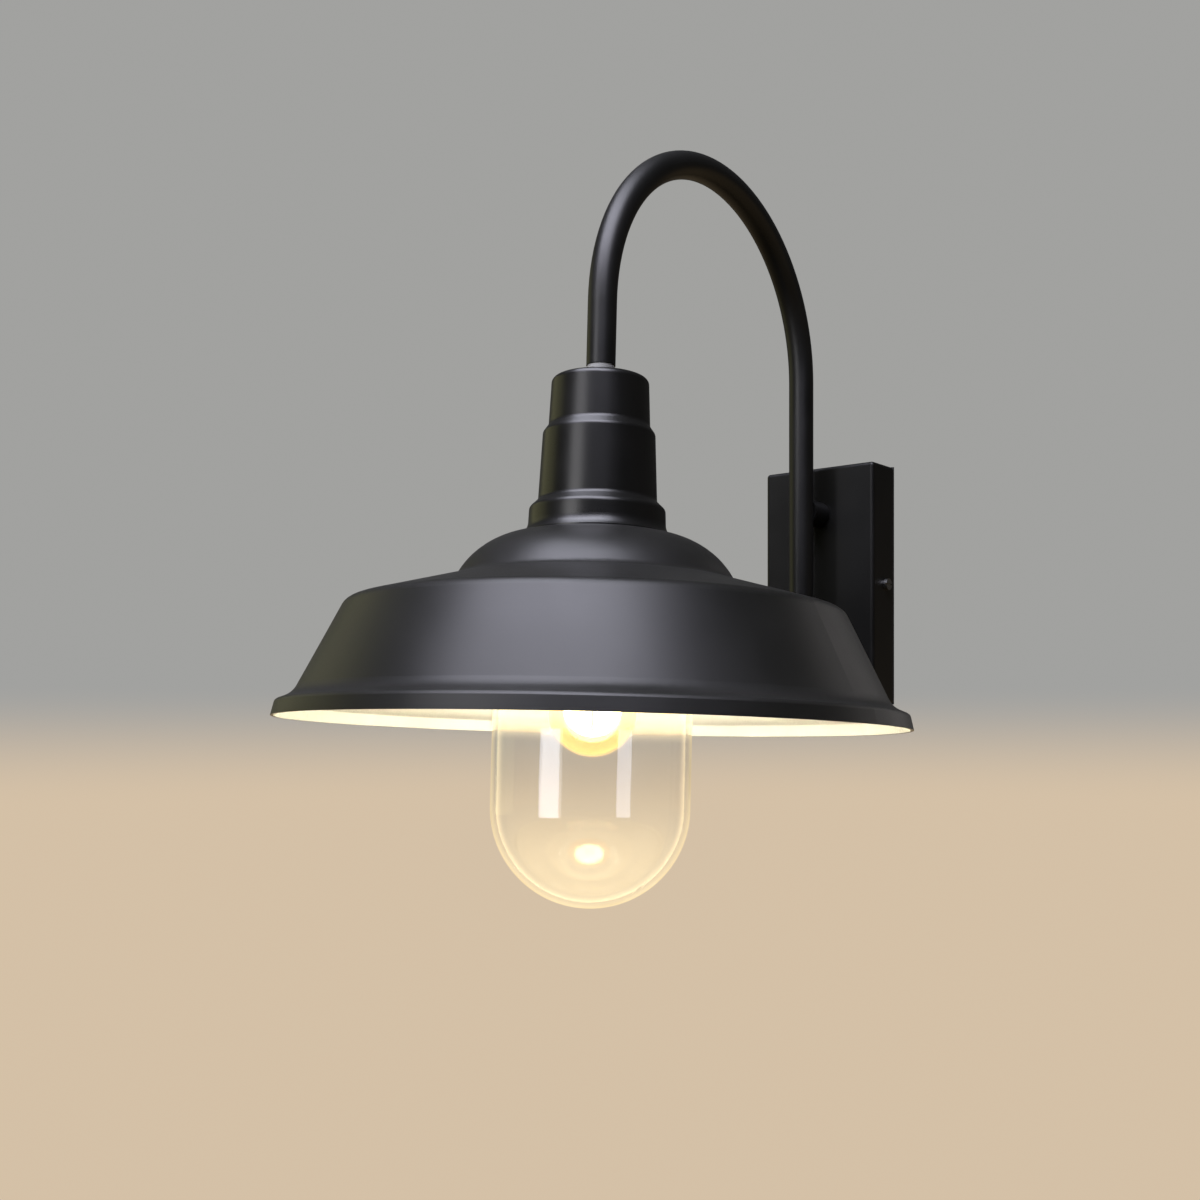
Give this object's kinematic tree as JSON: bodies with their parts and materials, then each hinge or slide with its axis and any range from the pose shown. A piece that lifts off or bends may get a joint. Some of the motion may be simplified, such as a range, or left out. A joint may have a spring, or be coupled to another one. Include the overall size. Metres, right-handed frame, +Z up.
{
  "type": "outdoor wall lantern",
  "caption": "Gooseneck outdoor wall lantern: wall box, bent tube arm, stepped neck, domed conical shade, clear screw-in glass dome and a globe bulb.",
  "frame": {"origin": "middle of the wall box on the wall plane", "axes": "+Z up, the wall is the plane Y=0 and the lantern stands out along -Y, +X to the right seen from the front"},
  "size_m": [0.318, 0.4167, 0.4127],
  "materials": {
    "zinc_plate": "zinc plated",
    "black_foam": "matt closed-cell foam",
    "powder_coat_box": "satin powder coat",
    "stainless_screw": "stainless",
    "black_rubber": "matt",
    "white_polyamide": "moulded",
    "terminal_brass": "turned",
    "zinc_screw": "zinc plated",
    "earth_brass": "turned",
    "tinned_copper": "tinned",
    "powder_coat_arm": "satin powder coat",
    "zinc_thread": "zinc plated",
    "zinc_washer": "zinc plated",
    "zinc_nut": "zinc plated",
    "grey_silicone": "translucent",
    "powder_coat_neck": "satin powder coat",
    "shade_enamel": "satin black outside, cream white inside",
    "carrier_enamel": "cream white enamel",
    "white_silicone": "matt",
    "clear_glass": "clear",
    "porcelain": "glazed porcelain",
    "socket_brass": "nickel plated brass",
    "solder_tip": "solder",
    "black_vitrite": "fired glass",
    "nickel_cap": "nickel plated",
    "bulb_glass": "white glass, lit",
    "stem_glass": "clear",
    "filament_phosphor": "lit phosphor",
    "brown_insulation": "flexible insulation",
    "blue_insulation": "flexible insulation",
    "earth_insulation": "green and yellow insulation"
  },
  "bodies": {
    "lantern": {"wall_bracket": "zinc_plate", "back_seal": "black_foam", "wall_box": "powder_coat_box", "cover_screws": "stainless_screw", "cable_grommet": "black_rubber", "terminal_block": "white_polyamide", "terminal_inserts": "terminal_brass", "terminal_screws": "zinc_screw", "block_screw": "zinc_screw", "earth_stud": "earth_brass", "earth_lug": "tinned_copper", "earth_nut": "earth_brass", "standoff_upper": "powder_coat_arm", "standoff_lower": "powder_coat_arm", "standoff_nipples": "zinc_thread", "standoff_washers": "zinc_washer", "standoff_locknuts": "zinc_nut", "arm_tube": "powder_coat_arm", "arm_end_cap": "powder_coat_arm", "arm_nipple": "zinc_thread", "neck_seal": "grey_silicone", "neck_washer": "zinc_washer", "neck_locknut": "zinc_nut", "neck_housing": "powder_coat_neck", "shade": "shade_enamel", "glass_carrier": "carrier_enamel", "gallery_screws": "zinc_screw", "lampholder_body": "porcelain", "lampholder_shell": "socket_brass", "lampholder_contact": "socket_brass", "lampholder_terminals": "terminal_brass", "lampholder_screws": "zinc_screw", "head_earth_lug": "tinned_copper", "head_earth_screw": "earth_brass", "wire_line": "brown_insulation", "wire_neutral": "blue_insulation", "wire_earth": "earth_insulation"},
    "gasket": {"glass_gasket": "white_silicone"},
    "glass": {"glass_dome": "clear_glass"},
    "bulb_foot": {"bulb_contact": "solder_tip", "bulb_insulator": "black_vitrite"},
    "bulb": {"bulb_cap": "nickel_cap", "bulb_envelope": "bulb_glass", "bulb_stem": "stem_glass", "bulb_filaments": "filament_phosphor"}
  },
  "joints": [
    {"name": "glass_lower", "type": "slide", "parent": "lantern", "child": "gasket", "axis": [0, -0.0389, -0.9992], "range_m": [0, 0.0181]},
    {"name": "glass_turn", "type": "hinge", "parent": "gasket", "child": "glass", "pos_m": [0, -0.2567, -0.05897], "axis": [0, -0.0389, -0.9992], "range_deg": [0, 1080]},
    {"name": "bulb_lower", "type": "slide", "parent": "lantern", "child": "bulb_foot", "axis": [0, -0.0389, -0.9992], "range_m": [0, 0.0182]},
    {"name": "bulb_turn", "type": "hinge", "parent": "bulb_foot", "child": "bulb", "pos_m": [0, -0.25569, -0.03299], "axis": [0, -0.0389, -0.9992], "range_deg": [0, 1800]}
  ],
  "couplings": [
    {"joint": "glass_lower", "follows": "glass_turn", "m_per_rad": 0.00095493},
    {"joint": "bulb_lower", "follows": "bulb_turn", "m_per_rad": 0.00057757}
  ]
}
